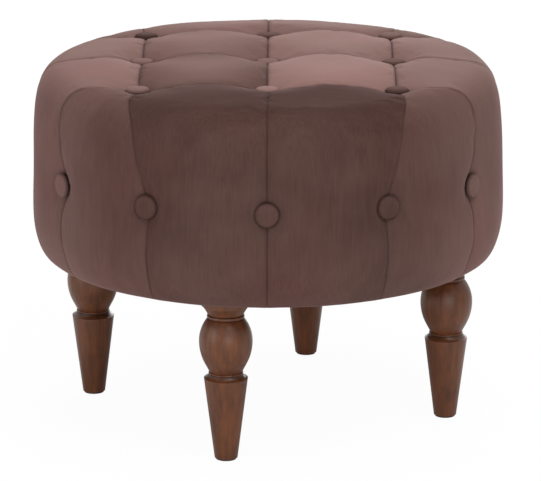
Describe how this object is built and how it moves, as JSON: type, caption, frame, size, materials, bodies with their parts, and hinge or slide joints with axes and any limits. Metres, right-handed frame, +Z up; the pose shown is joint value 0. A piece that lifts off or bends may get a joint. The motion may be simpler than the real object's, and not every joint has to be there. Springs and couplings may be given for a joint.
{
  "type": "tufted round footstool",
  "caption": "Low round drum footstool, biscuit tufted with covered buttons on the top and round the side, on turned tapering legs.",
  "frame": {"origin": "on the floor under the centre of the seat", "axes": "+Z up, -Y towards the front, +X to the right; the top's tufting grid lies along X and Y"},
  "size_m": [0.6006, 0.6006, 0.4613],
  "materials": {
    "turned_wood": "walnut-stained, satin lacquer",
    "foot_pad": "dull dark brown glide",
    "zinc_steel": "zinc plated",
    "plywood": "raw plywood",
    "softwood": "raw pine",
    "hardboard": "raw hardboard",
    "velvet": "short-pile velvet, mauve brown",
    "dust_cloth": "black spun-bonded cloth",
    "foam": "open-cell foam",
    "twine": "waxed tufting twine",
    "washer_plastic": "moulded white"
  },
  "bodies": {
    "root": {"leg_front": "turned_wood", "foot_pad_front": "foot_pad", "leg_left": "turned_wood", "foot_pad_left": "foot_pad", "leg_back": "turned_wood", "foot_pad_back": "foot_pad", "leg_right": "turned_wood", "foot_pad_right": "foot_pad", "leg_bolts": "zinc_steel", "leg_tee_nuts": "zinc_steel", "base_board": "plywood", "seat_board": "plywood", "frame_posts": "softwood", "frame_screws": "zinc_steel", "drum_wall": "hardboard", "top_panel_front_left": "velvet", "top_panel_front_right": "velvet", "top_panel_back_left": "velvet", "top_panel_back_right": "velvet", "panel_front_right": "velvet", "corner_panel_front_right": "velvet", "panel_right_front": "velvet", "panel_right_back": "velvet", "corner_panel_back_right": "velvet", "panel_back_right": "velvet", "panel_back_left": "velvet", "corner_panel_back_left": "velvet", "panel_left_back": "velvet", "panel_left_front": "velvet", "corner_panel_front_left": "velvet", "panel_front_left": "velvet", "cover_hem": "velvet", "dust_cover": "dust_cloth", "staples": "zinc_steel", "side_foam": "foam", "top_foam": "foam", "top_button_front_left": "velvet", "top_button_front_centre": "velvet", "top_button_front_right": "velvet", "top_button_middle_left": "velvet", "top_button_middle_centre": "velvet", "top_button_middle_right": "velvet", "top_button_back_left": "velvet", "top_button_back_centre": "velvet", "top_button_back_right": "velvet", "side_button_000": "velvet", "side_button_030": "velvet", "side_button_060": "velvet", "side_button_090": "velvet", "side_button_120": "velvet", "side_button_150": "velvet", "side_button_180": "velvet", "side_button_210": "velvet", "side_button_240": "velvet", "side_button_270": "velvet", "side_button_300": "velvet", "side_button_330": "velvet", "button_twines": "twine", "twine_washers": "washer_plastic"}
  },
  "joints": []
}
